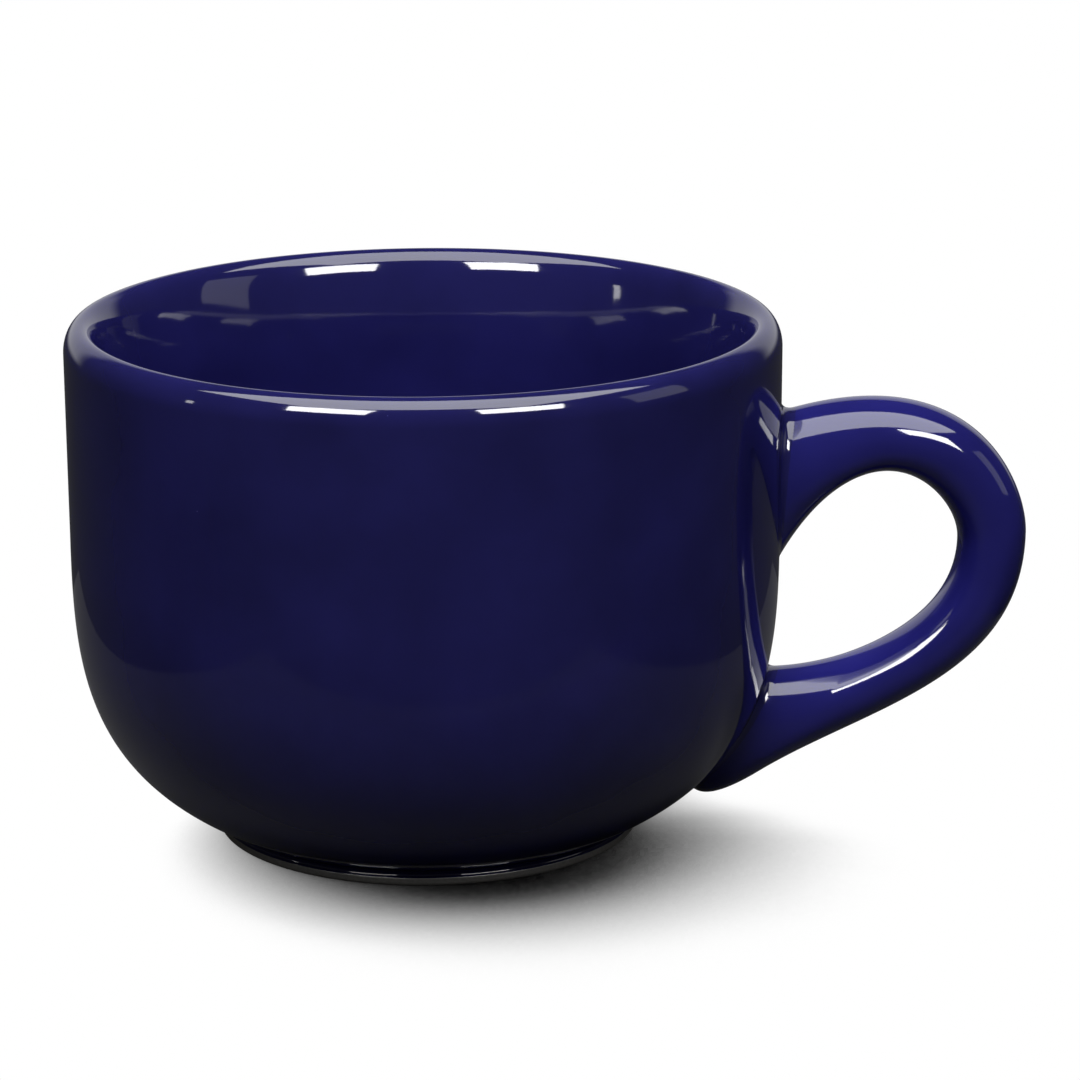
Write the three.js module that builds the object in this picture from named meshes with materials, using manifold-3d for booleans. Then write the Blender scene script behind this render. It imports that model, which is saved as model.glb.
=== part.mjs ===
// A wide latte mug of glazed stoneware: a turned body, a cast loop handle and two slip joints.
// Millimetres and degrees, +Z up. The mug stands on z = 0, with its handle towards +X.
import * as THREE from 'three';
import { mergeVertices } from 'three/addons/utils/BufferGeometryUtils.js';
import Module from 'manifold-3d';

// Body: rim, straight upper wall and inside
const rimDiameter = 112;
const mugHeight = 82;
const wallThickness = 7.25;
const wallTaper = 0.15;
const crownInset = 2.75;
const rimOuterDrop = 4.2;
const rimInnerDrop = 20;
const floorThickness = 5.5;
const insideCornerHeight = 19;
const insideCornerInset = 1.5;

// Body: bowl and turned foot
const bowlTop = 49;
const bowlFootAngle = 24.3;
const bowlFullnessAtFoot = 0.975;
const bowlFullnessAtWall = 0.555;
const footDiameter = 67;
const footHeight = 2.5;
const footFillet = 1;
const footEdgeRound = 0.6;
const footRingWidth = 5;
const footRecess = 2;
const footRecessDraft = 0.7;

// Handle: where its two outlines leave the body and how far they stand out
const handleProjection = 39;
const gripThickness = 10.7;
const gripWidth = 13;
const rootWidth = 15;
const sectionSquareness = 2.25;
const handleDrop = 15.9;
const upperRootHeight = 23.2;
const outerGripDrop = 19.4;
const innerGripDrop = 20.8;
const lowerRootTop = 24.1;
const lowerRootBottom = 6.9;
const heelLength = 10.5;

// Handle: directions and lengths of the tangents that shape its outlines
const upperRootTopAngle = 16.5;
const upperRootBottomAngle = 61.5;
const lowerRootTopAngle = -0.5;
const lowerRootBottomAngle = -82;
const heelAngle = 32.2;
const outerUpperPull = 32.6;
const outerGripPullUp = 7.2;
const outerGripPullDown = 24.8;
const heelArmPull = 20.7;
const heelTurnPull = 6;
const lowerRootBottomPull = 4.9;
const innerUpperPull = 28.4;
const innerGripPullUp = 8.1;
const innerGripPullDown = 14.8;
const innerLowerPull = 13;
const heelShare = 0.66;

// Slip joints
const clearance = 0.3;
const slipLayer = 0.4;
const slipRadius = 1.9;
const slipEdge = 0.25;
const rootDepth = 5;

// Facets
const turnSteps = 72;
const bowlSteps = 18;
const insideSteps = 14;
const rimSteps = 5;
const lipSteps = 7;
const armSteps = 15;
const heelSteps = 8;
const buriedSteps = 2;
const sectionSteps = 28;
const filletSteps = 4;
const searchSteps = 40;
const probe = 0.001;

// Sizes worked out from the ones above
const rimRadius = rimDiameter / 2;
const footRadius = footDiameter / 2;
const wallFootRadius = rimRadius - wallTaper;
const shoulder = mugHeight - rimOuterDrop;
const floorHeight = footRecess + floorThickness;
const handleReach = rimRadius + handleProjection;
const handleTop = mugHeight - handleDrop;
const upperRootBottom = handleTop - upperRootHeight;
const standOff = slipLayer + 2 * clearance;

const glaze = new THREE.MeshStandardMaterial({
  name: 'cobalt glaze',
  color: 0x1a1a48,
  roughness: 0.08,
  metalness: 0,
});

const wasm = await Module();
wasm.setup();

function at(radius, height) {
  return new THREE.Vector2(radius, height);
}

function along(angle, length) {
  const radians = THREE.MathUtils.degToRad(angle);
  return at(length * Math.cos(radians), length * Math.sin(radians));
}

// Turns a closed geometry into a solid that can be cut
function solidOf(geometry) {
  const bare = geometry.clone();
  bare.deleteAttribute('normal');
  bare.deleteAttribute('uv');
  const merged = mergeVertices(bare);
  const index = merged.index.array;
  const triangles = [];
  for (let i = 0; i < index.length; i += 3) {
    const corners = [index[i], index[i + 1], index[i + 2]];
    if (new Set(corners).size === 3) {
      triangles.push(...corners);
    }
  }
  return new wasm.Manifold(new wasm.Mesh({
    numProp: 3,
    vertProperties: new Float32Array(merged.attributes.position.array),
    triVerts: new Uint32Array(triangles),
  }));
}

function meshOf(name, solid) {
  const cut = solid.getMesh();
  const geometry = new THREE.BufferGeometry();
  geometry.setAttribute('position', new THREE.BufferAttribute(cut.vertProperties, 3));
  geometry.setIndex(new THREE.BufferAttribute(cut.triVerts, 1));
  geometry.computeVertexNormals();
  const mesh = new THREE.Mesh(geometry, glaze);
  mesh.name = name;
  return mesh;
}

// Revolves a profile of radius and height about the mug's axis
function revolve(profile) {
  const geometry = new THREE.LatheGeometry(profile, turnSteps);
  geometry.rotateX(Math.PI / 2);
  return solidOf(geometry);
}

// Skins closed rings of equal length and closes both ends on a middle point
function loft(rings, firstMiddle, lastMiddle) {
  const count = rings[0].length;
  const points = [...rings.flat(), firstMiddle, lastMiddle];
  const first = points.length - 2;
  const last = points.length - 1;
  const index = [];
  for (let ring = 0; ring + 1 < rings.length; ring += 1) {
    for (let i = 0; i < count; i += 1) {
      const a = ring * count + i;
      const b = ring * count + (i + 1) % count;
      index.push(a, a + count, b, b, a + count, b + count);
    }
  }
  const end = (rings.length - 1) * count;
  for (let i = 0; i < count; i += 1) {
    const next = (i + 1) % count;
    index.push(first, i, next, last, end + next, end + i);
  }
  const geometry = new THREE.BufferGeometry().setFromPoints(points);
  geometry.setIndex(index);
  return solidOf(geometry);
}

function meanOf(points) {
  const sum = new THREE.Vector3();
  points.forEach((point) => sum.add(point));
  return sum.divideScalar(points.length);
}

// The bowl's outer curve, from foot to straight wall, is pulled towards the corner of its end tangents
const bowlFoot = at(footRadius, footHeight);
const bowlHead = at(wallFootRadius, bowlTop);
const bowlRise = (wallFootRadius - footRadius) * Math.tan(THREE.MathUtils.degToRad(bowlFootAngle));
const bowlCorner = at(wallFootRadius, footHeight + bowlRise);
const bowl = new THREE.CubicBezierCurve(
  bowlFoot,
  bowlFoot.clone().lerp(bowlCorner, bowlFullnessAtFoot),
  bowlHead.clone().lerp(bowlCorner, bowlFullnessAtWall),
  bowlHead,
);

// The outside of bowl and wall, moved outwards by a distance
function outsideCurve(distance) {
  const points = [];
  for (let i = 0; i <= bowlSteps; i += 1) {
    const tangent = bowl.getTangentAt(i / bowlSteps);
    const normal = at(tangent.y, -tangent.x);
    points.push(bowl.getPointAt(i / bowlSteps).addScaledVector(normal, distance));
  }
  points.push(at(rimRadius + distance, shoulder));
  return points;
}

// The filled body with its outside moved outwards, for cutting what is joined to it
function envelope(distance) {
  const points = outsideCurve(distance);
  return revolve([at(0, points[0].y), ...points, at(0, shoulder)]);
}

const wallCurve = outsideCurve(0);

// Radius of the outside at a height
function wallRadius(height) {
  const found = wallCurve.findIndex((point) => point.y > height);
  const upper = found === -1 ? wallCurve.length - 1 : Math.max(found, 1);
  const low = wallCurve[upper - 1];
  const high = wallCurve[upper];
  return THREE.MathUtils.mapLinear(height, low.y, high.y, low.x, high.x);
}

function onWall(height) {
  return at(wallRadius(height), height);
}

// Outward direction of the outside under or beside a point
function wallNormal(point) {
  const slope = (wallRadius(point.z + probe) - wallRadius(point.z - probe)) / (2 * probe);
  const radial = new THREE.Vector3(point.x, point.y, 0).normalize();
  return radial.setZ(-slope).normalize();
}

// Distance outside the wall, measured level
function outside(point) {
  return Math.hypot(point.x, point.y) - wallRadius(point.z);
}

function bodyProfile() {
  const insideFootRadius = wallFootRadius - wallThickness;
  const ringInside = footRadius - footRingWidth;
  const filletEnd = footFillet / bowl.getLength();
  const foot = new THREE.QuadraticBezierCurve(
    at(footRadius, footHeight - footFillet),
    bowlFoot,
    bowl.getPointAt(filletEnd),
  );
  const bowlPoints = [];
  for (let i = 1; i <= bowlSteps; i += 1) {
    bowlPoints.push(bowl.getPointAt(THREE.MathUtils.lerp(filletEnd, 1, i / bowlSteps)));
  }
  const crown = rimRadius - crownInset;
  const lip = wallThickness - crownInset;
  const rimOutside = new THREE.EllipseCurve(crown, shoulder, crownInset, rimOuterDrop, 0, Math.PI / 2);
  const lipHeight = mugHeight - rimInnerDrop;
  const rimInside = new THREE.EllipseCurve(crown, lipHeight, lip, rimInnerDrop, Math.PI / 2, Math.PI);
  const inside = new THREE.CubicBezierCurve(
    at(insideFootRadius, bowlTop),
    at(insideFootRadius, insideCornerHeight),
    at(insideFootRadius - insideCornerInset, floorHeight),
    at(0, floorHeight),
  );
  return [
    at(0, footRecess),
    at(ringInside - footRecessDraft, footRecess),
    at(ringInside, footEdgeRound),
    at(ringInside + footEdgeRound, 0),
    at(footRadius - footEdgeRound, 0),
    at(footRadius, footEdgeRound),
    ...foot.getPoints(filletSteps),
    ...bowlPoints,
    ...rimOutside.getPoints(rimSteps),
    ...rimInside.getPoints(lipSteps).slice(1),
    ...inside.getPoints(insideSteps),
  ];
}

// The handle's outlines in its middle plane, each in five stages:
// buried in the wall, upper arm, lower arm, heel, buried in the bowl
const outerTop = onWall(handleTop);
const outerGrip = at(handleReach, handleTop - outerGripDrop);
const outerBottom = onWall(lowerRootBottom);
const heel = at(outerBottom.x + heelLength, lowerRootBottom);
const innerTop = onWall(upperRootBottom);
const innerGrip = at(handleReach - gripThickness, handleTop - innerGripDrop);
const innerBottom = onWall(lowerRootTop);

function bend(from, fromPull, toPull, to) {
  return new THREE.CubicBezierCurve(from, from.clone().add(fromPull), to.clone().add(toPull), to);
}

function buried(point, angle) {
  return point.clone().add(along(angle, -rootDepth));
}

const outerRootPull = along(lowerRootBottomAngle, lowerRootBottomPull);
const outerStages = [
  new THREE.LineCurve(buried(outerTop, upperRootTopAngle), outerTop),
  bend(outerTop, along(upperRootTopAngle, outerUpperPull), at(0, outerGripPullUp), outerGrip),
  bend(outerGrip, at(0, -outerGripPullDown), along(heelAngle, heelArmPull), heel),
  bend(heel, along(heelAngle, -heelTurnPull), outerRootPull, outerBottom),
  new THREE.LineCurve(outerBottom, buried(outerBottom, lowerRootBottomAngle)),
];
const innerTopPull = along(upperRootBottomAngle, innerUpperPull);
const innerBottomPull = along(lowerRootTopAngle, innerLowerPull);
const innerUpper = bend(innerTop, innerTopPull, at(0, innerGripPullUp), innerGrip);
const innerLower = bend(innerGrip, at(0, -innerGripPullDown), innerBottomPull, innerBottom);
const innerStages = [
  (share) => buried(innerTop, upperRootBottomAngle).lerp(innerTop, share),
  (share) => innerUpper.getPoint(share),
  (share) => innerLower.getPoint(share * heelShare),
  (share) => innerLower.getPoint(THREE.MathUtils.lerp(heelShare, 1, share)),
  (share) => innerBottom.clone().lerp(buried(innerBottom, lowerRootTopAngle), share),
];
const stageSteps = [buriedSteps, armSteps, armSteps, heelSteps, buriedSteps];
const upperWallStage = 1;
const gripStage = 2;
const lowerWallStage = 4;
const lastStage = outerStages.length - probe;

// Half width of the handle at a stage: narrow at the grip, wide at both roots
function halfWidth(stage) {
  const span = stage < gripStage ? gripStage - upperWallStage : lowerWallStage - gripStage;
  const share = Math.min(Math.abs(stage - gripStage) / span, 1);
  return THREE.MathUtils.lerp(gripWidth, rootWidth, share * share) / 2;
}

function squared(value) {
  return Math.sign(value) * Math.abs(value) ** (2 / sectionSquareness);
}

// A point on the handle: its oval section spans the two outlines at the stage
function handlePoint(stage, turn) {
  const piece = Math.floor(stage);
  const outer = outerStages[piece].getPoint(stage - piece);
  const inner = innerStages[piece](stage - piece);
  const middle = outer.clone().add(inner).divideScalar(2);
  const place = outer.sub(middle).multiplyScalar(squared(Math.cos(turn))).add(middle);
  return new THREE.Vector3(place.x, halfWidth(stage) * squared(Math.sin(turn)), place.y);
}

function handleNormal(stage, turn) {
  const ahead = handlePoint(Math.min(stage + probe, lastStage), turn);
  const behind = handlePoint(Math.max(stage - probe, 0), turn);
  const around = handlePoint(stage, turn + probe).sub(handlePoint(stage, turn - probe));
  return ahead.sub(behind).cross(around).normalize();
}

const turns = Array.from({ length: sectionSteps }, (_, i) => i * 2 * Math.PI / sectionSteps);

// The handle's section at a stage, moved outwards by a distance
function handleRing(stage, growth) {
  return turns.map((turn) => handlePoint(stage, turn).addScaledVector(handleNormal(stage, turn), growth));
}

// The handle, moved outwards by a distance and ended where the slip under its roots begins
function handleSolid(growth) {
  const rings = [];
  stageSteps.forEach((steps, piece) => {
    for (let i = 0; i < steps; i += 1) {
      rings.push(handleRing(piece + i / steps, growth));
    }
  });
  rings.push(handleRing(lastStage, growth));
  const whole = loft(rings, meanOf(rings[0]), meanOf(rings.at(-1)));
  return whole.subtract(envelope(standOff - growth));
}

// The stage at which a line along the handle meets the wall, between a stage inside it and one outside
function wallStage(turn, insideStage, outsideStage) {
  let low = insideStage;
  let high = outsideStage;
  for (let i = 0; i < searchSteps; i += 1) {
    const middle = (low + high) / 2;
    if (outside(handlePoint(middle, turn)) < 0) {
      low = middle;
    } else {
      high = middle;
    }
  }
  return high;
}

// The part of a direction that lies in the surface with this normal
function inSurface(direction, normal) {
  return direction.clone().addScaledVector(normal, -direction.dot(normal)).normalize();
}

// Slip pressed out round a root, wiped to a hollow fillet of one radius, and the thin layer under the root
function slipJoint(insideStage, outsideStage) {
  const lift = clearance + slipEdge;
  const rings = Array.from({ length: filletSteps + 2 }, () => []);
  const outward = new THREE.Vector3();
  turns.forEach((turn) => {
    const stage = wallStage(turn, insideStage, outsideStage);
    const corner = handlePoint(stage, turn);
    const offWall = wallNormal(corner);
    const offHandle = handleNormal(stage, turn);
    const facing = offHandle.dot(offWall);
    const reach = clearance + slipRadius * Math.sqrt((1 - facing) / (1 + facing));
    const onBody = corner.clone().addScaledVector(inSurface(offHandle, offWall), reach);
    const onHandle = corner.clone().addScaledVector(inSurface(offWall, offHandle), reach);
    const hollow = corner.clone().addScaledVector(offWall, lift).addScaledVector(offHandle, lift);
    onBody.addScaledVector(offWall, lift);
    onHandle.addScaledVector(offHandle, lift);
    const fillet = new THREE.QuadraticBezierCurve3(onBody, hollow, onHandle);
    rings[0].push(onBody.clone().addScaledVector(offWall, -rootDepth));
    fillet.getPoints(filletSteps).forEach((point, i) => rings[i + 1].push(point));
    outward.add(offWall);
  });
  outward.normalize();
  const inBody = meanOf(rings[0]).addScaledVector(outward, -rootDepth);
  const inRoot = meanOf(rings[1]).addScaledVector(outward, rootDepth);
  rings.push(rings.at(-1).map((point) => point.clone().lerp(inRoot, 1 / 2)));
  const middles = [inBody, inRoot];
  if (insideStage > outsideStage) {
    rings.reverse();
    middles.reverse();
  }
  return loft(rings, ...middles).subtract(envelope(clearance)).subtract(handleSolid(clearance));
}

const mug = new THREE.Group();
mug.add(meshOf('mug_body', revolve(bodyProfile())));
mug.add(meshOf('handle', handleSolid(0)));
mug.add(meshOf('upper_slip_joint', slipJoint(0, gripStage)));
mug.add(meshOf('lower_slip_joint', slipJoint(lastStage, gripStage)));

// The part's own frame has its origin under the middle of its box
mug.position.x = -handleProjection / 2;

export default mug;
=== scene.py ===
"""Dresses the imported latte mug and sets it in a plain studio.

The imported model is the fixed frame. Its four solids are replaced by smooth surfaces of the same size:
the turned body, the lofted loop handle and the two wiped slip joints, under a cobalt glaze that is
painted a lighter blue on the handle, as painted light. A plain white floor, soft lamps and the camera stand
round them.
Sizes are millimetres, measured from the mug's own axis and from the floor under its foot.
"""

import logging
import math
from dataclasses import dataclass, field
from enum import Enum
from typing import Any, Callable, Sequence

import bpy
import numpy as np
from mathutils import Matrix, Quaternion, Vector

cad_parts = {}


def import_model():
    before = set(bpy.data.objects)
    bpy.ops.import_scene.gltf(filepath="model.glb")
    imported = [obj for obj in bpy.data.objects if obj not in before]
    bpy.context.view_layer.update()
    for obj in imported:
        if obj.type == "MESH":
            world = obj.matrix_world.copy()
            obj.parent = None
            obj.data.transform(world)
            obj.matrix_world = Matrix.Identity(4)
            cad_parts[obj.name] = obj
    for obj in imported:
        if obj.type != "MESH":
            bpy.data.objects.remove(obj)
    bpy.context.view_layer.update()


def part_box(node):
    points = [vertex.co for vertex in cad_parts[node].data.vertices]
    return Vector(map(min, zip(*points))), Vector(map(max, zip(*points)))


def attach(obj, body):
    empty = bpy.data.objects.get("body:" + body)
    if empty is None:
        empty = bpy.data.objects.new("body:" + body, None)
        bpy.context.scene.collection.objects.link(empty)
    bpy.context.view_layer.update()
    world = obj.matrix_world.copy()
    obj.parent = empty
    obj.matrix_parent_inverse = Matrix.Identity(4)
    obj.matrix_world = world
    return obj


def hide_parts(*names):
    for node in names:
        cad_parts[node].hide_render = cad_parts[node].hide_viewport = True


Array = np.ndarray
Colour = tuple[float, float, float, float]

MM = 0.001
NUDGE = 1e-6
BODY_NAME = "root"
log = logging.getLogger("latte_mug")


class Slot(Enum):
    """The record's material slots."""

    BODY = "body_glaze"
    HANDLE = "handle_glaze"
    JOINT = "joint_glaze"


class Root(Enum):
    """The two ends of the handle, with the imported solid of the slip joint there."""

    UPPER = "upper_slip_joint"
    LOWER = "lower_slip_joint"


def linear(hex_code: str) -> Colour:
    """Turns an sRGB colour into linear light.

    Args:
        hex_code: six hex digits after a hash sign.

    Returns:
        Red, green, blue and an alpha of one.
    """
    shares = [int(hex_code[i : i + 2], 16) / 255 for i in (1, 3, 5)]
    lit = [s / 12.92 if s <= 0.04045 else ((s + 0.055) / 1.055) ** 2.4 for s in shares]
    return (lit[0], lit[1], lit[2], 1.0)


def add_node(tree: bpy.types.NodeTree, kind: str, settings: dict[str, Any], inputs: dict[Any, Any]) -> Any:
    """Adds one node to a tree.

    Args:
        tree: the node tree.
        kind: the node's type name.
        settings: attributes of the node.
        inputs: each input's name or number, with a value or with (node, output name) to link from.

    Returns:
        The new node.
    """
    node = tree.nodes.new(kind)
    for name, value in settings.items():
        setattr(node, name, value)
    for name, value in inputs.items():
        if isinstance(value, tuple) and isinstance(value[0], bpy.types.Node):
            tree.links.new(value[0].outputs[value[1]], node.inputs[name])
        else:
            node.inputs[name].default_value = value
    return node


def bezier(controls: Sequence[Sequence[float]], share: Array) -> Array:
    """Cubic Bezier, (1-t)^3 A + 3(1-t)^2 t B + 3(1-t) t^2 C + t^3 D, at every t at once.

    Args:
        controls: the points A, B, C and D.
        share: the values of t.

    Returns:
        One point for each t.
    """
    a, b, c, d = (np.asarray(point, float) for point in controls)
    t = share[..., None]
    return (1 - t) ** 3 * a + 3 * (1 - t) ** 2 * t * b + 3 * (1 - t) * t**2 * c + t**3 * d


def bezier_slope(controls: Sequence[Sequence[float]], share: Array) -> Array:
    """Derivative of the cubic Bezier by t, 3(1-t)^2 (B-A) + 6(1-t) t (C-B) + 3 t^2 (D-C).

    Args:
        controls: the points A, B, C and D.
        share: the values of t.

    Returns:
        One direction for each t.
    """
    a, b, c, d = (np.asarray(point, float) for point in controls)
    t = share[..., None]
    return 3 * (1 - t) ** 2 * (b - a) + 6 * (1 - t) * t * (c - b) + 3 * t**2 * (d - c)


def arc(
    centre: Sequence[float],
    radii: Sequence[float],
    turn_from: float,
    turn_to: float,
    steps: int,
) -> Array:
    """Part of an ellipse, (x + a cos w, y + b sin w), with w between two turns.

    Args:
        centre: x and y of the middle.
        radii: the half axes a and b.
        turn_from: the first turn, in degrees.
        turn_to: the last turn, in degrees.
        steps: how many steps to take between them.

    Returns:
        One point for each turn.
    """
    turn = np.radians(np.linspace(turn_from, turn_to, steps + 1))
    return np.stack([centre[0] + radii[0] * np.cos(turn), centre[1] + radii[1] * np.sin(turn)], -1)


def unit(vectors: Array) -> Array:
    """Scales vectors to a length of one."""
    return vectors / np.linalg.norm(vectors, axis=-1, keepdims=True)


def dot(first: Array, second: Array) -> Array:
    """Dot products along the last axis, kept as an axis of one."""
    return np.sum(first * second, axis=-1, keepdims=True)


def in_surface(direction: Array, normal: Array) -> Array:
    """The part of a direction that lies in the surface with this normal, at a length of one."""
    return unit(direction - dot(direction, normal) * normal)


def pulled(point: Sequence[float], angle: float, length: float) -> Array:
    """A point moved by a length at an angle in degrees from level."""
    turn = math.radians(angle)
    return np.asarray(point, float) + length * np.array([math.cos(turn), math.sin(turn)])


def skin(
    name: str,
    grid: Array,
    ends: Sequence[Array] = (),
    sharp_rows: Sequence[int] = (),
) -> bpy.types.Object:
    """Makes a smooth closed mesh object from a grid of points in millimetres.

    Each row of the grid is a closed ring. With two end points the first and last rings are closed on them,
    and without them the last ring joins the first one.

    Args:
        name: the object's name.
        grid: points by row, by column and by axis, in the part's frame.
        ends: the middle of the first ring and of the last ring.
        sharp_rows: rows that keep a crisp edge.

    Returns:
        The object, linked to the scene.
    """
    rows, columns, _ = grid.shape
    index = np.arange(rows * columns).reshape(rows, columns)
    lower = index[:-1] if len(ends) else index
    upper = index[1:] if len(ends) else np.roll(index, -1, axis=0)
    quads = np.stack([lower, np.roll(lower, -1, 1), np.roll(upper, -1, 1), upper], -1).reshape(-1, 4)
    faces = quads.tolist()
    points = grid.reshape(-1, 3)
    if len(ends):
        first = np.full(columns, rows * columns)
        faces += np.stack([first, np.roll(index[0], -1), index[0]], -1).tolist()
        faces += np.stack([first + 1, index[-1], np.roll(index[-1], -1)], -1).tolist()
        points = np.concatenate([points, np.asarray(ends, float)])
    mesh = bpy.data.meshes.new(name)
    mesh.from_pydata((points * MM).tolist(), [], faces)
    mesh.shade_smooth()
    if len(sharp_rows):
        edges = np.empty(len(mesh.edges) * 2, np.int32)
        mesh.edges.foreach_get("vertices", edges)
        edge_rows = edges.reshape(-1, 2) // columns
        level = edge_rows[:, 0] == edge_rows[:, 1]
        mesh.edges.foreach_set("use_edge_sharp", level & np.isin(edge_rows[:, 0], sharp_rows))
    mesh.update()
    piece = bpy.data.objects.new(name, mesh)
    bpy.context.scene.collection.objects.link(piece)
    return piece


def dress(piece: bpy.types.Object, material: bpy.types.Material, node: str) -> None:
    """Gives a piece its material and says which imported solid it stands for.

    Args:
        piece: the new mesh object.
        material: its finish.
        node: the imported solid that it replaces.
    """
    piece.data.materials.append(material)
    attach(piece, BODY_NAME)
    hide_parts(node)
    log.info("%s: %d faces, stands for %s", piece.name, len(piece.data.polygons), node)


@dataclass(frozen=True)
class CobaltGlaze:
    """Cobalt stoneware glaze, dipped and fired to a clear glass over blue.

    It gives the eye a very deep blue under sharp mirror-like highlights. Lengths are millimetres.
    The glaze pools unevenly, ripples very slightly and holds a few pale specks. The foot ring is wiped before
    firing, so bare grey stoneware shows under the wipe line.
    """

    name: str
    deep_colour: str = "#1E1D57"
    thick_colour: str = "#19184C"
    speck_colour: str = "#4A4A86"
    clay_colour: str = "#8F8B84"
    clay_dark_colour: str = "#6F6B65"
    ior: float = 1.5
    roughness: float = 0.04
    roughness_spread: float = 0.03
    clay_roughness: float = 0.75
    pool_size: float = 18.0
    pool_detail: float = 3.0
    pool_low: float = 0.35
    pool_high: float = 0.65
    ripple_size: float = 5.0
    ripple_detail: float = 2.0
    ripple_height: float = 0.012
    speck_spacing: float = 11.0
    speck_radius: float = 0.11
    speck_core: float = 0.5
    clay_grit: float = 0.5
    clay_grit_detail: float = 4.0
    clay_grit_height: float = 0.05
    wipe_line: float = 1.35
    wipe_blur: float = 0.15

    def material(self) -> bpy.types.Material:
        """Builds the glaze over bare clay as one material on Object coordinates.

        Returns:
            The new material.
        """
        made = bpy.data.materials.new(self.name)
        made.use_nodes = True
        tree = made.node_tree
        tree.nodes.clear()
        place = add_node(tree, "ShaderNodeTexCoord", {}, {})
        spot = (place, "Object")
        axes = add_node(tree, "ShaderNodeSeparateXYZ", {}, {0: spot})
        per_metre = 1 / MM
        glazed = add_node(tree, "ShaderNodeMapRange", {"interpolation_type": "SMOOTHSTEP"}, {
            "Value": (axes, "Z"),
            "From Min": (self.wipe_line - self.wipe_blur) * MM,
            "From Max": self.wipe_line * MM,
        })
        pools = add_node(tree, "ShaderNodeTexNoise", {}, {
            "Vector": spot,
            "Scale": per_metre / self.pool_size,
            "Detail": self.pool_detail,
        })
        pool_share = add_node(tree, "ShaderNodeMapRange", {}, {
            "Value": (pools, "Fac"),
            "From Min": self.pool_low,
            "From Max": self.pool_high,
        })
        blue = add_node(tree, "ShaderNodeMix", {"data_type": "RGBA"}, {
            0: (pool_share, "Result"),
            6: linear(self.deep_colour),
            7: linear(self.thick_colour),
        })
        specks = add_node(tree, "ShaderNodeTexVoronoi", {}, {
            "Vector": spot,
            "Scale": per_metre / self.speck_spacing,
        })
        speck_share = add_node(tree, "ShaderNodeMapRange", {}, {
            "Value": (specks, "Distance"),
            "From Min": self.speck_radius / self.speck_spacing,
            "From Max": self.speck_core * self.speck_radius / self.speck_spacing,
        })
        flecked = add_node(tree, "ShaderNodeMix", {"data_type": "RGBA"}, {
            0: (speck_share, "Result"),
            6: (blue, 2),
            7: linear(self.speck_colour),
        })
        grit = add_node(tree, "ShaderNodeTexNoise", {}, {
            "Vector": spot,
            "Scale": per_metre / self.clay_grit,
            "Detail": self.clay_grit_detail,
        })
        clay = add_node(tree, "ShaderNodeMix", {"data_type": "RGBA"}, {
            0: (grit, "Fac"),
            6: linear(self.clay_dark_colour),
            7: linear(self.clay_colour),
        })
        colour = add_node(tree, "ShaderNodeMix", {"data_type": "RGBA"}, {
            0: (glazed, "Result"),
            6: (clay, 2),
            7: (flecked, 2),
        })
        ripples = add_node(tree, "ShaderNodeTexNoise", {}, {
            "Vector": spot,
            "Scale": per_metre / self.ripple_size,
            "Detail": self.ripple_detail,
        })
        gloss = add_node(tree, "ShaderNodeMapRange", {}, {
            "Value": (pools, "Fac"),
            "To Min": self.roughness,
            "To Max": self.roughness + self.roughness_spread,
        })
        roughness = add_node(tree, "ShaderNodeMix", {}, {
            0: (glazed, "Result"),
            2: self.clay_roughness,
            3: (gloss, "Result"),
        })
        ripple_bump = add_node(tree, "ShaderNodeBump", {}, {
            "Distance": self.ripple_height * MM,
            "Height": (ripples, "Fac"),
        })
        bare = add_node(tree, "ShaderNodeMath", {"operation": "SUBTRACT"}, {0: 1.0, 1: (glazed, "Result")})
        grit_bump = add_node(tree, "ShaderNodeBump", {}, {
            "Strength": (bare, 0),
            "Distance": self.clay_grit_height * MM,
            "Height": (grit, "Fac"),
            "Normal": (ripple_bump, 0),
        })
        shader = add_node(tree, "ShaderNodeBsdfPrincipled", {}, {
            "Base Color": (colour, 2),
            "Roughness": (roughness, 0),
            "IOR": self.ior,
            "Normal": (grit_bump, 0),
        })
        add_node(tree, "ShaderNodeOutputMaterial", {}, {"Surface": (shader, "BSDF")})
        return made


BODY_GLAZE = CobaltGlaze("cobalt_glazed_stoneware")
# Painted light: the handle's glaze is a lighter, bluer copy of the body's glaze, standing in for the brighter
# light on the handle
HANDLE_GLAZE_PAINTED_LIGHTER = CobaltGlaze("cobalt_glaze_painted_lighter", deep_colour="#21206C", thick_colour="#1C1B60")


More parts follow.
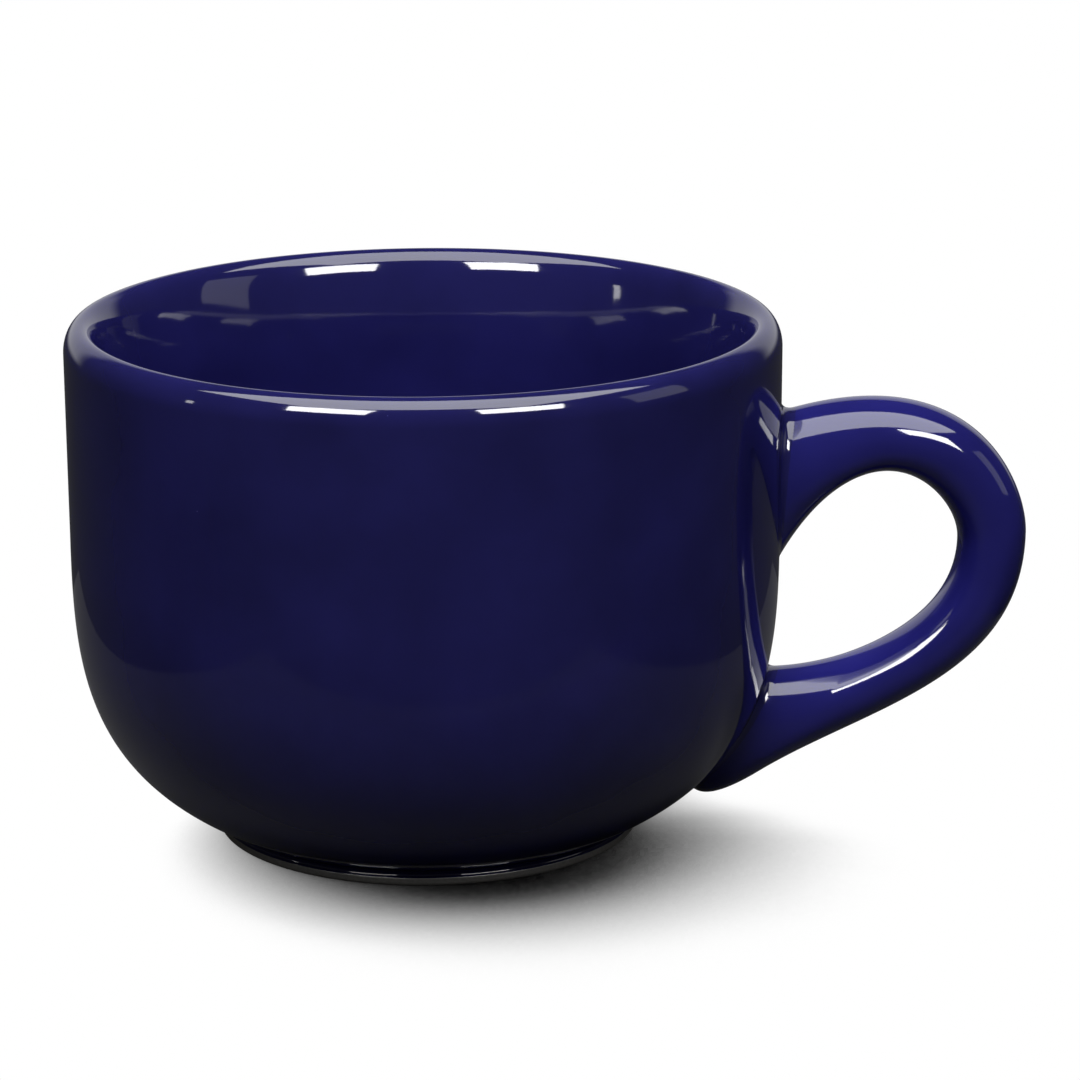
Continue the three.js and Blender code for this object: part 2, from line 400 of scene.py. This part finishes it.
@dataclass
class MugBody:
    """The turned body: rim, straight wall, deep bowl, floor and foot ring."""

    axis_x: float
    rim_radius: float
    height: float
    wall: float = 7.25
    wall_taper: float = 0.15
    crown_inset: float = 2.75
    rim_outer_drop: float = 4.2
    lip_width: float = 3.3
    lip_drop: float = 8.6
    lip_lean: float = 12.5
    lip_run_out: float = 16.9
    bowl_top: float = 49.0
    bowl_foot_angle: float = 24.3
    bowl_fullness_at_foot: float = 0.975
    bowl_fullness_at_wall: float = 0.555
    foot_radius: float = 33.5
    foot_height: float = 2.5
    foot_waist: float = 0.35
    foot_waist_height: float = 1.45
    foot_edge: float = 0.6
    hollow_share: float = 0.035
    foot_ring_width: float = 5.0
    foot_recess: float = 2.0
    recess_corner: float = 1.2
    first_ring: float = 1.0
    floor_thickness: float = 5.5
    inside_corner_height: float = 19.0
    inside_corner_inset: float = 1.5
    turn_steps: int = 320
    bowl_steps: int = 64
    inside_steps: int = 44
    round_steps: int = 10
    table_steps: int = 4000

    def __post_init__(self) -> None:
        """Works out the bowl's curve and a fine table of it for looking up heights."""
        wall_foot = self.rim_radius - self.wall_taper
        foot = np.array([self.foot_radius, self.foot_height])
        head = np.array([wall_foot, self.bowl_top])
        rise = (wall_foot - self.foot_radius) * math.tan(math.radians(self.bowl_foot_angle))
        corner = np.array([wall_foot, self.foot_height + rise])
        near_foot = foot + self.bowl_fullness_at_foot * (corner - foot)
        near_head = head + self.bowl_fullness_at_wall * (corner - head)
        self.bowl = [foot, near_foot, near_head, head]
        self.shares = np.linspace(0, 1, self.table_steps)
        self.heights = bezier(self.bowl, self.shares)[:, 1]

    def wall_radius(self, height: Array) -> Array:
        """Radius of the outside: the bowl's Bezier below the straight wall, a straight taper above."""
        bowl = bezier(self.bowl, np.interp(height, self.heights, self.shares))[..., 0]
        taper = self.wall_taper * (height - self.bowl_top) / (self.shoulder - self.bowl_top)
        return bowl + np.maximum(taper, 0)

    def wall_normal(self, points: Array) -> Array:
        """Outward directions of the outside beside points: (cos a, sin a, -dr/dz), at a length of one."""
        slope = bezier_slope(self.bowl, np.interp(points[..., 2], self.heights, self.shares))
        lean = np.where(points[..., 2] > self.bowl_top, 0, slope[..., 0] / slope[..., 1])
        around = np.arctan2(points[..., 1], points[..., 0] - self.axis_x)
        return unit(np.stack([np.cos(around), np.sin(around), -lean], -1))

    def onto_wall(self, points: Array) -> Array:
        """Points moved level onto the outside."""
        around = np.arctan2(points[..., 1], points[..., 0] - self.axis_x)
        radius = self.wall_radius(points[..., 2])
        return np.stack([self.axis_x + radius * np.cos(around), radius * np.sin(around), points[..., 2]], -1)

    def outside(self, points: Array) -> Array:
        """Distances of points outside the wall, measured level."""
        return np.hypot(points[..., 0] - self.axis_x, points[..., 1]) - self.wall_radius(points[..., 2])

    @property
    def shoulder(self) -> float:
        """Height at which the wall turns into the rim."""
        return self.height - self.rim_outer_drop

    @property
    def inner_floor(self) -> float:
        """Height of the inside's lowest point."""
        return self.foot_recess + self.floor_thickness

    def profile(self) -> Array:
        """The turned outline, from under the floor, round foot, bowl and rim, to the middle of the inside.

        Straight runs join quarter ellipses at the foot ring's edges and at the rim. The bowl and the inside
        are cubic Beziers. A waist above the foot ring meets the bowl in a hollow.

        Returns:
            Radius and height of each point.
        """
        ring_inside = self.foot_radius - self.foot_ring_width
        edge = self.foot_edge
        corner = self.recess_corner
        crown = self.rim_radius - self.crown_inset
        inner_wall = self.rim_radius - self.wall_taper - self.wall
        lean = math.radians(self.lip_lean)
        lip_turn = 180 - math.degrees(math.atan(math.tan(lean) * self.lip_drop / self.lip_width))
        lip_centre = (crown, self.height - self.lip_drop)
        steps = self.round_steps
        lip = arc(lip_centre, (self.lip_width, self.lip_drop), 90, lip_turn, steps)
        knee = np.array([inner_wall, lip[-1, 1] - (lip[-1, 0] - inner_wall) / math.tan(lean)])
        lip_foot = np.array([inner_wall, self.height - self.lip_run_out])
        run_out = [lip[-1], (lip[-1] + 2 * knee) / 3, (lip_foot + 2 * knee) / 3, lip_foot]
        waist = self.foot_radius - self.foot_waist
        ledge = self.foot_waist_height
        cove = [
            (self.foot_radius, ledge - self.foot_waist),
            (self.foot_radius, ledge),
            (waist, ledge),
            (waist, ledge + self.foot_waist),
        ]
        bowl = bezier(self.bowl, np.linspace(self.hollow_share, 1, self.bowl_steps + 1))
        hollow_from = np.array([waist, ledge + self.foot_waist])
        hollow = [hollow_from, (waist, self.foot_height), self.bowl[0], bowl[0]]
        inside = [
            (inner_wall, self.bowl_top),
            (inner_wall, self.inside_corner_height),
            (inner_wall - self.inside_corner_inset, self.inner_floor),
            (0, self.inner_floor),
        ]
        share = np.linspace(0, 1, steps + 1)
        inside_share = np.linspace(0, 1, self.inside_steps + 1)[:-1]
        recess_centre = (ring_inside - corner, self.foot_recess - corner)
        under_floor = np.linspace(self.first_ring, ring_inside - corner, steps)
        return np.concatenate([
            np.stack([under_floor, np.full(steps, self.foot_recess)], -1),
            arc(recess_centre, (corner, corner), 90, 0, steps)[1:],
            arc((ring_inside + edge, edge), (edge, edge), 180, 270, steps),
            arc((self.foot_radius - edge, edge), (edge, edge), 270, 360, steps),
            bezier(cove, share),
            bezier(hollow, share)[1:],
            bowl[1:],
            arc((crown, self.shoulder), (self.crown_inset, self.rim_outer_drop), 0, 90, 2 * steps),
            lip[1:],
            bezier(run_out, share)[1:],
            bezier(inside, inside_share),
        ])

    def build(self) -> bpy.types.Object:
        """Turns the profile about the mug's axis: (x0 + r cos w, r sin w, z).

        Returns:
            The body's object.
        """
        outline = self.profile()
        turn = np.linspace(0, 2 * np.pi, self.turn_steps, endpoint=False)
        radius, height = outline[:, :1], outline[:, 1:]
        grid = np.stack(np.broadcast_arrays(
            self.axis_x + radius * np.cos(turn),
            radius * np.sin(turn),
            height,
        ), -1)
        ends = [(self.axis_x, 0, self.foot_recess), (self.axis_x, 0, self.inner_floor)]
        return skin("glazed_body", grid, np.array(ends))


@dataclass
class LoopHandle:
    """The cast handle: oval sections between an outer and an inner outline, flared at both roots."""

    body: MugBody
    reach: float
    grip_thickness: float = 10.7
    grip_width: float = 13.0
    root_width: float = 15.0
    squareness: float = 2.25
    drop: float = 15.9
    upper_root: float = 23.2
    outer_grip_drop: float = 19.4
    inner_grip_drop: float = 20.8
    lower_root_top: float = 24.1
    lower_root_bottom: float = 6.9
    heel_length: float = 10.5
    upper_top_angle: float = 16.5
    upper_bottom_angle: float = 61.5
    lower_top_angle: float = -0.5
    lower_bottom_angle: float = -82.0
    heel_angle: float = 32.2
    outer_upper_pull: float = 32.6
    outer_grip_pull_up: float = 7.2
    outer_grip_pull_down: float = 24.8
    heel_arm_pull: float = 20.7
    heel_turn_pull: float = 6.0
    lower_bottom_pull: float = 4.9
    inner_upper_pull: float = 28.4
    inner_grip_pull_up: float = 8.1
    inner_grip_pull_down: float = 14.8
    inner_lower_pull: float = 13.0
    heel_share: float = 0.66
    buried: float = 1.6
    arm_steps: int = 64
    heel_steps: int = 40
    buried_steps: int = 3
    section_steps: int = 112
    slope_step: float = 1e-4
    stages: int = field(default=5, init=False)
    grip_stage: int = field(default=2, init=False)

    def __post_init__(self) -> None:
        """Works out both outlines as Bezier stages: in the wall, upper arm, lower arm, heel, in the bowl."""
        top = self.body.height - self.drop
        outer_top = self.on_wall(top)
        outer_grip = np.array([self.reach, top - self.outer_grip_drop])
        outer_bottom = self.on_wall(self.lower_root_bottom)
        heel = outer_bottom + [self.heel_length, 0]
        inner_top = self.on_wall(top - self.upper_root)
        inner_grip = np.array([self.reach - self.grip_thickness, top - self.inner_grip_drop])
        inner_bottom = self.on_wall(self.lower_root_top)
        self.outer = [
            self.line(pulled(outer_top, self.upper_top_angle, -self.buried), outer_top),
            [
                outer_top,
                pulled(outer_top, self.upper_top_angle, self.outer_upper_pull),
                outer_grip + [0, self.outer_grip_pull_up],
                outer_grip,
            ],
            [
                outer_grip,
                outer_grip - [0, self.outer_grip_pull_down],
                pulled(heel, self.heel_angle, self.heel_arm_pull),
                heel,
            ],
            [
                heel,
                pulled(heel, self.heel_angle, -self.heel_turn_pull),
                pulled(outer_bottom, self.lower_bottom_angle, self.lower_bottom_pull),
                outer_bottom,
            ],
            self.line(outer_bottom, pulled(outer_bottom, self.lower_bottom_angle, -self.buried)),
        ]
        inner_lower = [
            inner_grip,
            inner_grip - [0, self.inner_grip_pull_down],
            pulled(inner_bottom, self.lower_top_angle, self.inner_lower_pull),
            inner_bottom,
        ]
        self.inner = [
            self.line(pulled(inner_top, self.upper_bottom_angle, -self.buried), inner_top),
            [
                inner_top,
                pulled(inner_top, self.upper_bottom_angle, self.inner_upper_pull),
                inner_grip + [0, self.inner_grip_pull_up],
                inner_grip,
            ],
            inner_lower,
            inner_lower,
            self.line(inner_bottom, pulled(inner_bottom, self.lower_top_angle, -self.buried)),
        ]

    def on_wall(self, height: float) -> Array:
        """Radius and height of the wall at a height."""
        return np.array([float(self.body.wall_radius(np.array(height))), height])

    def line(self, start: Array, end: Array) -> list[Array]:
        """A straight run written as a cubic Bezier."""
        return [start, start + (end - start) / 3, start + 2 * (end - start) / 3, end]

    def outlines(self, stage: Array) -> tuple[Array, Array]:
        """Both outlines at every stage at once: each whole stage is one Bezier, picked by its number.

        The inner outline's lower curve spans the lower arm up to the heel share and the heel after it.

        Args:
            stage: numbers from 0 to the count of stages.

        Returns:
            Radius and height on the outer outline and on the inner one.
        """
        number = np.clip(np.floor(stage), 0, self.stages - 1)
        share = stage - number
        inner_share = np.select(
            [number == self.grip_stage, number == self.grip_stage + 1],
            [share * self.heel_share, self.heel_share + share * (1 - self.heel_share)],
            share,
        )
        picks = [(number == k)[..., None] for k in range(self.stages)]
        outer = np.select(picks, [bezier(curve, share) for curve in self.outer])
        inner = np.select(picks, [bezier(curve, inner_share) for curve in self.inner])
        return outer, inner

    def points(self, stage: Array, turn: Array) -> Array:
        """Points of the handle's surface.

        A section is the superellipse |u|^n + |v|^n = 1, taken by its angle. u runs from the middle of the two
        outlines to the outer one, and v across the handle by half its width, which grows with the square of
        the way from the grip to a root.

        Args:
            stage: place along the handle.
            turn: angle round the section, in radians, 0 at the outer outline.

        Returns:
            Points in the part's frame.
        """
        outer, inner = self.outlines(stage)
        middle = (outer + inner) / 2
        size = (np.abs(np.cos(turn)) ** self.squareness + np.abs(np.sin(turn)) ** self.squareness)
        size = size ** (-1 / self.squareness)
        place = middle + (outer - middle) * (size * np.cos(turn))[..., None]
        upper_span = self.grip_stage - 1
        lower_span = self.stages - 1 - self.grip_stage
        span = np.where(stage < self.grip_stage, upper_span, lower_span)
        way = np.clip(np.abs(stage - self.grip_stage) / span, 0, 1)
        half = (self.grip_width + (self.root_width - self.grip_width) * way**2) / 2
        across = -half * size * np.sin(turn)
        return np.stack([self.body.axis_x + place[..., 0], across, place[..., 1]], -1)

    def normals(self, stage: Array, turn: Array) -> Array:
        """Outward directions of the handle's surface, from differences along it and round it.

        Args:
            stage: place along the handle.
            turn: angle round the section, in radians.

        Returns:
            Directions of a length of one.
        """
        step = self.slope_step
        last = self.stages - step
        ahead = self.points(np.minimum(stage + step, last), turn)
        behind = self.points(np.maximum(stage - step, 0), turn)
        around = self.points(stage, turn + step) - self.points(stage, turn - step)
        return unit(np.cross(around, ahead - behind))

    def build(self) -> bpy.types.Object:
        """Skins the sections from one buried end to the other.

        Returns:
            The handle's object.
        """
        counts = [self.buried_steps, self.arm_steps, self.arm_steps, self.heel_steps, self.buried_steps]
        runs = [k + np.arange(count) / count for k, count in enumerate(counts)]
        stage = np.concatenate([*runs, [self.stages - NUDGE]])
        turn = np.linspace(0, 2 * np.pi, self.section_steps, endpoint=False)
        grid = self.points(*np.broadcast_arrays(stage[:, None], turn))
        return skin("glazed_handle", grid, np.stack([grid[0].mean(0), grid[-1].mean(0)]))


@dataclass
class SlipJoint:
    """The slip wiped to a hollow fillet round one root of the handle."""

    body: MugBody
    handle: LoopHandle
    root: Root
    radius: float = 1.9
    sink: float = 0.012
    depth: float = 0.8
    turn_steps: int = 224
    fillet_steps: int = 14
    search_steps: int = 40

    def search(self, inside: float, found: Callable[[Array], Array]) -> Array:
        """Halves a range of stages, from one inside the wall towards the grip, until a test changes.

        Args:
            inside: the stage to start from.
            found: function of stages that says which ones are far enough out.

        Returns:
            One stage for each turn.
        """
        low = np.full(self.turn_steps, float(inside))
        high = np.full(self.turn_steps, float(self.handle.grip_stage))
        for _ in range(self.search_steps):
            middle = (low + high) / 2
            far = found(middle)
            high = np.where(far, middle, high)
            low = np.where(far, low, middle)
        return high

    def build(self) -> bpy.types.Object:
        """Sweeps a hollow fillet round the root.

        At each turn the handle's line meets the wall in a corner. The fillet is a quadratic Bezier from
        the wall to the handle, tangent to both: its middle point is where their tangent planes meet
        nearest the corner. A ring under the corner closes the section inside the clay.

        Returns:
            The joint's object.
        """
        turn = np.linspace(0, 2 * np.pi, self.turn_steps, endpoint=False)
        if self.root is Root.LOWER:
            turn = turn[::-1]
        inside = 0 if self.root is Root.UPPER else self.handle.stages - NUDGE
        meets = self.search(inside, lambda stage: self.body.outside(self.handle.points(stage, turn)) > 0)
        corner = self.handle.points(meets, turn)
        off_wall = self.body.wall_normal(corner)
        off_handle = self.handle.normals(meets, turn)
        facing = dot(off_wall, off_handle)
        reach = self.radius * np.sqrt((1 - facing) / (1 + facing))
        on_wall = self.body.onto_wall(corner + reach * in_surface(off_handle, off_wall))

        def beyond(stage: Array) -> Array:
            """Says which stages lie farther along the handle than the fillet reaches."""
            span = self.handle.points(stage, turn) - corner
            outside = self.body.outside(corner + span) > 0
            return outside & (np.linalg.norm(span, axis=-1) > reach[:, 0])

        ends = self.search(inside, beyond)
        on_handle = self.handle.points(ends, turn)
        wall_side = self.body.wall_normal(on_wall)
        handle_side = self.handle.normals(ends, turn)
        mixed = dot(wall_side, handle_side)
        to_wall = dot(wall_side, on_wall - corner)
        to_handle = dot(handle_side, on_handle - corner)
        share = 1 - mixed**2
        middle = corner + (to_wall - mixed * to_handle) / share * wall_side
        middle = middle + (to_handle - mixed * to_wall) / share * handle_side
        first = on_wall - self.sink * wall_side
        last = on_handle - self.sink * handle_side
        t = np.linspace(0, 1, self.fillet_steps + 1)[:, None, None]
        fillet = (1 - t) ** 2 * first + 2 * (1 - t) * t * middle + t**2 * last
        under = corner - self.depth * unit(wall_side + handle_side)
        grid = np.concatenate([fillet, under[None]])
        name = f"glazed_{self.root.value}"
        return skin(name, grid, sharp_rows=(0, self.fillet_steps, self.fillet_steps + 1))


class LampPart(Enum):
    """The parts of a panel: the face that the glaze mirrors and the light that falls on matt surfaces."""

    FACE = "face"
    LIGHT = "light"


def bearing(azimuth: float, elevation: float) -> Vector:
    """Direction from the mug, in degrees: azimuth 0 is straight in front of it, 90 towards the handle."""
    around = math.radians(azimuth)
    up = math.radians(elevation)
    return Vector((math.sin(around) * math.cos(up), -math.cos(around) * math.cos(up), math.sin(up)))


def white_share(tree: bpy.types.NodeTree, mirrored: Any) -> Any:
    """Says how much of a white background a ray sees: all of it past the mug, a share of it in the glaze.

    Args:
        tree: the node tree of the floor or of the surround.
        mirrored: the share that glossy rays see, as a value or as (node, output name).

    Returns:
        The node that gives the share.
    """
    path = add_node(tree, "ShaderNodeLightPath", {}, {})
    direct = add_node(tree, "ShaderNodeMath", {"operation": "MAXIMUM"}, {
        0: (path, "Is Camera Ray"),
        1: (path, "Is Transmission Ray"),
    })
    glossy = add_node(tree, "ShaderNodeMath", {"operation": "MULTIPLY"}, {
        0: (path, "Is Glossy Ray"),
        1: mirrored,
    })
    return add_node(tree, "ShaderNodeMath", {"operation": "MAXIMUM"}, {0: (direct, 0), 1: (glossy, 0)})


@dataclass(frozen=True)
class Softbox:
    """A soft lamp panel or a card beside the mug. Angles are degrees and lengths are metres.

    Its face shows in the glaze at one radiance, its shine. It lights matt surfaces, such as the colour under
    the glaze, at another, its glow.
    """

    name: str
    azimuth: float
    elevation: float
    distance: float
    width: float
    height: float
    tilt: float = 0.0
    roll: float = 0.0
    shine: float = 0.0
    glow: float = 0.0

    def lamps(self, target: Vector) -> None:
        """Places the panel round the mug, as one area lamp for each part that gives light.

        Args:
            target: the point that the panel faces before its tilt.
        """
        aim = bearing(self.azimuth, self.elevation)
        roll = Quaternion((0, 0, 1), math.radians(self.roll))
        tilt = Quaternion((1, 0, 0), math.radians(self.tilt))
        turn = aim.to_track_quat("Z", "Y") @ roll @ tilt
        for part, radiance in ((LampPart.FACE, self.shine), (LampPart.LIGHT, self.glow)):
            if radiance == 0:
                continue
            data = bpy.data.lights.new(f"{self.name}_{part.value}", "AREA")
            data.shape = "RECTANGLE"
            data.size = self.width
            data.size_y = self.height
            data.energy = radiance * math.pi * self.width * self.height
            lamp = bpy.data.objects.new(data.name, data)
            lamp.location = target + aim * self.distance
            lamp.rotation_euler = turn.to_euler()
            lamp.visible_camera = False
            lamp.visible_diffuse = part is LampPart.LIGHT
            lamp.visible_glossy = part is LampPart.FACE
            bpy.context.scene.collection.objects.link(lamp)


LEFT_SOFTBOX = Softbox(
    "left_softbox",
    azimuth=-32.3,
    elevation=33.8,
    distance=1.6,
    width=0.674,
    height=0.431,
    roll=2.1,
    shine=26.0,
    glow=1.2,
)
RIGHT_SOFTBOX = Softbox(
    "right_softbox",
    azimuth=32.4,
    elevation=31.5,
    distance=1.6,
    width=0.693,
    height=0.399,
    roll=-6.3,
    shine=26.0,
    glow=1.2,
)
TOP_PANEL = Softbox(
    "top_panel",
    azimuth=0.0,
    elevation=61.2,
    distance=1.18,
    width=1.72,
    height=1.32,
    tilt=-46.0,
    shine=6.3,
    glow=0.65,
)
KEY_LIGHT = Softbox("key_light", azimuth=0.0, elevation=62.0, distance=1.0, width=0.5, height=0.5, glow=15.5)
BACK_FILL = Softbox("back_fill", azimuth=180.0, elevation=40.0, distance=1.2, width=0.8, height=0.8, glow=5.0)
RIGHT_CARD = Softbox(
    "right_card",
    azimuth=79.0,
    elevation=19.0,
    distance=1.5,
    width=0.56,
    height=0.6,
    shine=0.9,
)
LEFT_CARD = Softbox(
    "left_card",
    azimuth=-77.0,
    elevation=11.0,
    distance=1.5,
    width=0.07,
    height=0.16,
    shine=7.0,
)


@dataclass
class Studio:
    """The pale floor, the lamps, the surround and the camera.

    Lengths are millimetres and angles are degrees. The camera's place is measured from the mug's axis.
    The spans of the backdrop's white card are heights and depths on a ball of radius one round the mug.
    """

    axis_x: float
    eye: tuple[float, float, float] = (0.0, -685.97, 233.98)
    pan: float = 1.508
    tilt: float = 15.339
    roll: float = -0.259
    lens: float = 150.0
    sensor: float = 36.0
    near_limit: float = 10.0
    aim_height: float = 45.0
    white: str = "#FFFFFF"
    floor_reach: float = 130.0
    floor_steps: int = 36
    floor_mirrored_colour: str = "#404040"
    floor_share: float = 0.03
    # Painted shadow on the floor: the lean, reach, samples and black and white levels of its ambient
    # occlusion
    painted_shadow_azimuth: float = -160.0
    painted_shadow_elevation: float = 42.0
    painted_shadow_reach: float = 300.0
    painted_shadow_samples: int = 48
    painted_shadow_black: float = 0.205
    painted_shadow_white: float = 0.53
    card_share: float = 0.65
    card_depth: tuple[float, float] = (0.70, 0.82)
    card_foot: tuple[float, float] = (-0.10, 0.02)
    card_top: tuple[float, float] = (0.52, 0.40)
    surround: float = 0.04
    front_glow: float = 0.06
    glow_depth: tuple[float, float] = (0.2, -0.9)
    softboxes: Sequence[Softbox] = (
        LEFT_SOFTBOX,
        RIGHT_SOFTBOX,
        TOP_PANEL,
        KEY_LIGHT,
        BACK_FILL,
        RIGHT_CARD,
        LEFT_CARD,
    )

    def camera(self) -> None:
        """Stands the camera where the picture was taken from and makes it the scene's own."""
        pan, tilt, roll = (math.radians(angle) for angle in (self.pan, self.tilt, self.roll))
        ahead = Vector((math.sin(pan) * math.cos(tilt), math.cos(pan) * math.cos(tilt), -math.sin(tilt)))
        level = ahead.cross(Vector((0, 0, 1))).normalized()
        upright = level.cross(ahead)
        right = math.cos(roll) * level + math.sin(roll) * upright
        up = math.cos(roll) * upright - math.sin(roll) * level
        data = bpy.data.cameras.new("photo_camera")
        data.lens = self.lens
        data.sensor_width = self.sensor
        data.clip_start = self.near_limit * MM
        camera = bpy.data.objects.new("photo_camera", data)
        turn = Matrix((right, up, -ahead)).transposed().to_4x4()
        place = Vector((self.axis_x + self.eye[0], self.eye[1], self.eye[2])) * MM
        camera.matrix_world = Matrix.Translation(place) @ turn
        bpy.context.scene.collection.objects.link(camera)
        bpy.context.scene.camera = camera

    def floor_material(self) -> bpy.types.Material:
        """Builds the floor's finish: a white glow with a soft painted shadow round the mug.

        The shadow is painted, not cast by a lamp: the white's strength follows ambient occlusion round a
        normal that leans to the back left, white where enough of that side is open and black where little of
        it is.
        The glaze mirrors a dark matt floor with a small share of the white one, and from below the floor is
        clear, so that the foot can be seen.

        Returns:
            The new material.
        """
        made = bpy.data.materials.new("white_floor_with_painted_shadow")
        made.use_nodes = True
        made.cycles.emission_sampling = "NONE"
        tree = made.node_tree
        tree.nodes.clear()
        towards = bearing(self.painted_shadow_azimuth, self.painted_shadow_elevation)
        lean = add_node(tree, "ShaderNodeCombineXYZ", {}, {"X": towards.x, "Y": towards.y, "Z": towards.z})
        # Painted shadow: ambient occlusion sets how brightly the floor glows; no lamp casts this shade
        painted_shadow_ao = add_node(tree, "ShaderNodeAmbientOcclusion", {"samples": self.painted_shadow_samples}, {
            "Distance": self.painted_shadow_reach * MM,
            "Normal": (lean, 0),
        })
        tone = add_node(tree, "ShaderNodeMapRange", {}, {
            "Value": (painted_shadow_ao, "AO"),
            "From Min": self.painted_shadow_black,
            "From Max": self.painted_shadow_white,
        })
        seen = add_node(tree, "ShaderNodeEmission", {}, {
            "Color": linear(self.white),
            "Strength": (tone, 0),
        })
        matt = add_node(tree, "ShaderNodeBsdfDiffuse", {}, {"Color": linear(self.floor_mirrored_colour)})
        share = white_share(tree, self.floor_share)
        above = add_node(tree, "ShaderNodeMixShader", {}, {0: (share, 0), 1: (matt, 0), 2: (seen, 0)})
        side = add_node(tree, "ShaderNodeNewGeometry", {}, {})
        clear = add_node(tree, "ShaderNodeBsdfTransparent", {}, {})
        floor = add_node(tree, "ShaderNodeMixShader", {}, {
            0: (side, "Backfacing"),
            1: (above, 0),
            2: (clear, 0),
        })
        add_node(tree, "ShaderNodeOutputMaterial", {}, {"Surface": (floor, 0)})
        return made

    def floor(self) -> None:
        """Lays the pale floor under the mug as a flat grid."""
        side = np.linspace(-self.floor_reach, self.floor_reach, self.floor_steps)
        x, y = np.meshgrid(side + self.axis_x, side)
        points = np.stack([x, y, np.zeros_like(x)], -1).reshape(-1, 3) * MM
        index = np.arange(self.floor_steps**2).reshape(self.floor_steps, self.floor_steps)
        corners = [index[:-1, :-1], index[:-1, 1:], index[1:, 1:], index[1:, :-1]]
        faces = np.stack(corners, -1).reshape(-1, 4)
        mesh = bpy.data.meshes.new("studio_floor")
        mesh.from_pydata(points.tolist(), [], faces.tolist())
        mesh.materials.append(self.floor_material())
        sheet = bpy.data.objects.new("studio_floor", mesh)
        bpy.context.scene.collection.objects.link(sheet)

    def world(self) -> None:
        """Makes the surround: a white backdrop, a card behind the mug in the glaze, and a dim room."""
        made = bpy.data.worlds.new("dim_studio")
        bpy.context.scene.world = made
        made.use_nodes = True
        tree = made.node_tree
        tree.nodes.clear()
        smooth = {"interpolation_type": "SMOOTHSTEP"}
        place = add_node(tree, "ShaderNodeTexCoord", {}, {})
        axes = add_node(tree, "ShaderNodeSeparateXYZ", {}, {0: (place, "Generated")})
        card: Any = self.card_share
        for axis, (start, end) in (("Y", self.card_depth), ("Z", self.card_foot), ("Z", self.card_top)):
            limit = add_node(tree, "ShaderNodeMapRange", smooth, {
                "Value": (axes, axis),
                "From Min": start,
                "From Max": end,
            })
            product = add_node(tree, "ShaderNodeMath", {"operation": "MULTIPLY"}, {0: (limit, 0), 1: card})
            card = (product, 0)
        share = white_share(tree, card)
        glow = add_node(tree, "ShaderNodeMapRange", smooth, {
            "Value": (axes, "Y"),
            "From Min": self.glow_depth[0],
            "From Max": self.glow_depth[1],
            "To Min": self.surround,
            "To Max": self.front_glow,
        })
        pale = linear(self.white)
        dim = add_node(tree, "ShaderNodeBackground", {}, {"Color": pale, "Strength": (glow, 0)})
        white = add_node(tree, "ShaderNodeBackground", {}, {"Color": pale})
        mixed = add_node(tree, "ShaderNodeMixShader", {}, {0: (share, 0), 1: (dim, 0), 2: (white, 0)})
        add_node(tree, "ShaderNodeOutputWorld", {}, {"Surface": (mixed, 0)})

    def build(self) -> None:
        """Sets camera, floor, surround and lamps."""
        bpy.context.scene.view_settings.view_transform = "Standard"
        self.camera()
        self.floor()
        self.world()
        target = Vector((self.axis_x, 0, self.aim_height)) * MM
        for softbox in self.softboxes:
            softbox.lamps(target)


def main() -> None:
    """Loads the frame, builds each piece and the studio, and keeps the sizes."""
    logging.basicConfig(level=logging.INFO, format="%(name)s: %(message)s")
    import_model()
    low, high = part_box("mug_body")
    handle_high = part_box("handle")[1]
    axis_x = (low.x + high.x) / 2 / MM
    Studio(axis_x).build()
    glaze = BODY_GLAZE.material()
    # The handle's glaze is painted a lighter blue, as painted light
    handle_glaze = HANDLE_GLAZE_PAINTED_LIGHTER.material()
    body = MugBody(axis_x, (high.x - low.x) / 2 / MM, high.z / MM)
    handle = LoopHandle(body, handle_high.x / MM - axis_x)
    dress(body.build(), glaze, "mug_body")
    dress(handle.build(), handle_glaze, "handle")
    for root in Root:
        dress(SlipJoint(body, handle, root).build(), glaze, root.value)


if __name__ == "__main__":
    main()
